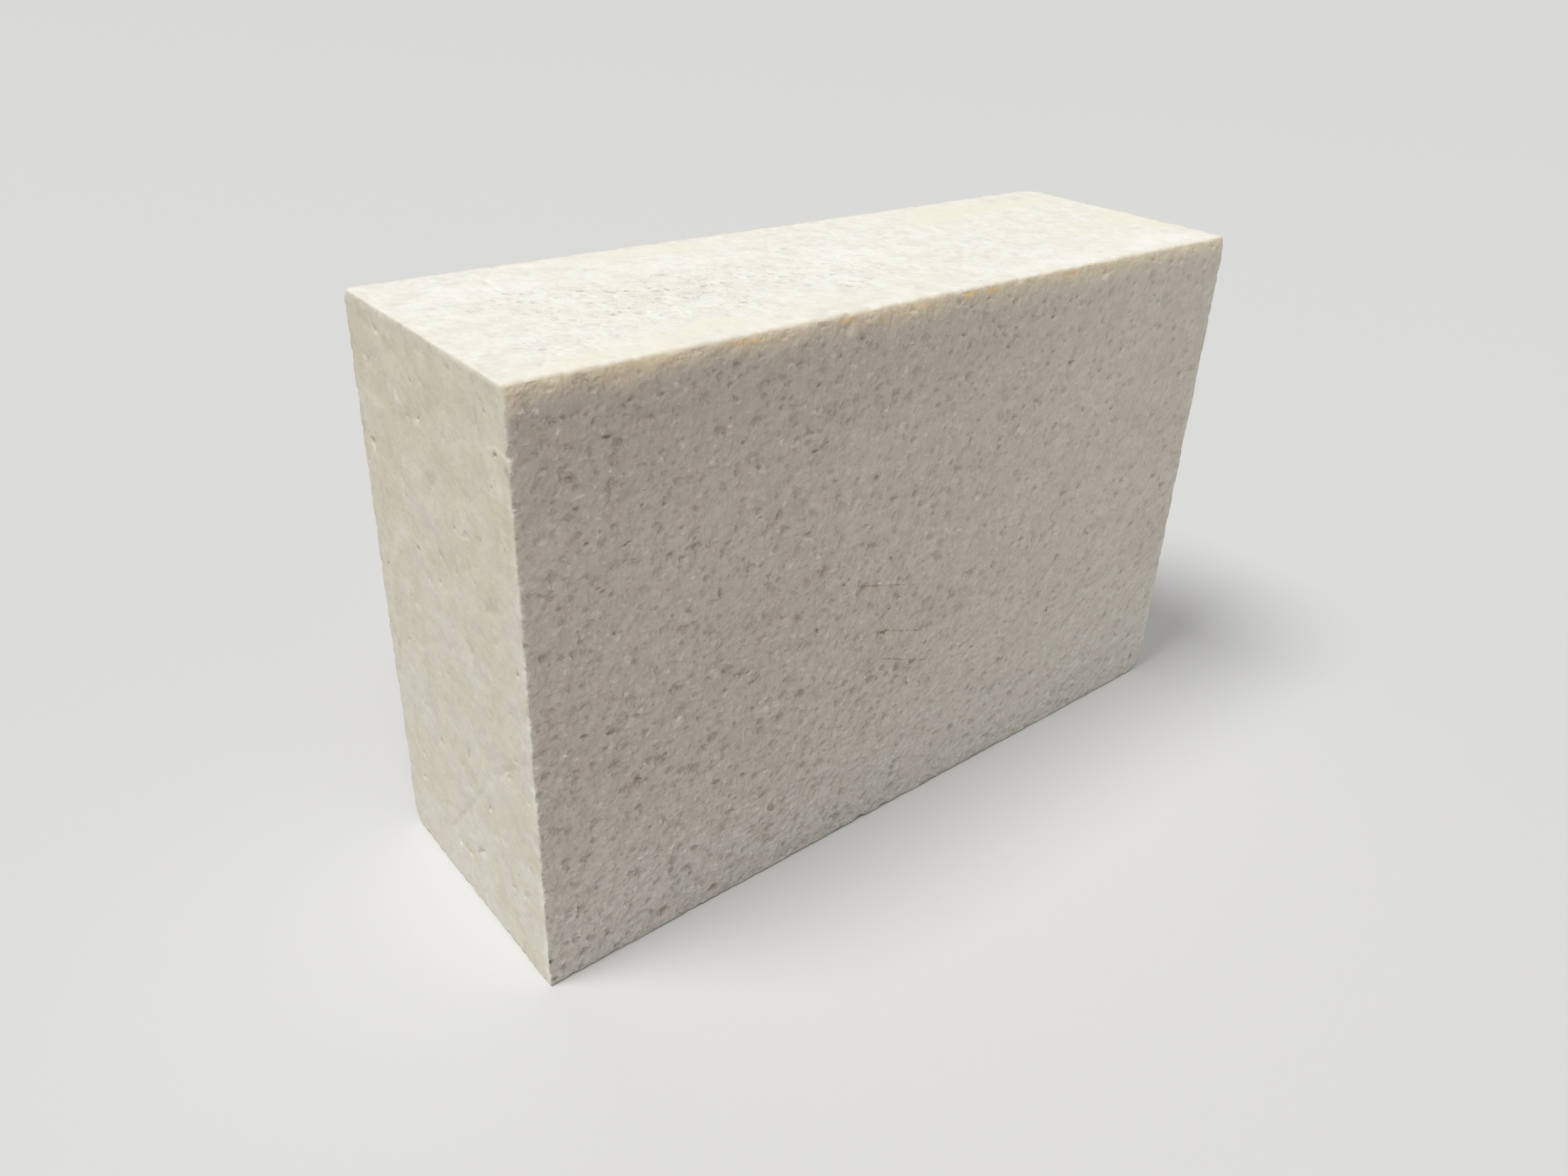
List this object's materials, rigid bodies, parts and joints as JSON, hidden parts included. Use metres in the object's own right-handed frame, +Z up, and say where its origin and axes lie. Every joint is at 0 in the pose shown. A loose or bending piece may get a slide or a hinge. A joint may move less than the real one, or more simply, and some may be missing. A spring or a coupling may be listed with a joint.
{
  "type": "refractory firebrick",
  "caption": "Straight refractory firebrick: a plain off-white fired block with slightly rounded arrises and knocked corners, for lining furnaces, kilns and hearths.",
  "frame": {"origin": "middle of the long narrow face that the brick stands on", "axes": "+X along the length, +Z up, -Y out of the pitted broad face"},
  "size_m": [0.23, 0.075, 0.15],
  "materials": {
    "fired_refractory": "matte"
  },
  "bodies": {
    "root": {"firebrick": "fired_refractory"}
  },
  "joints": []
}
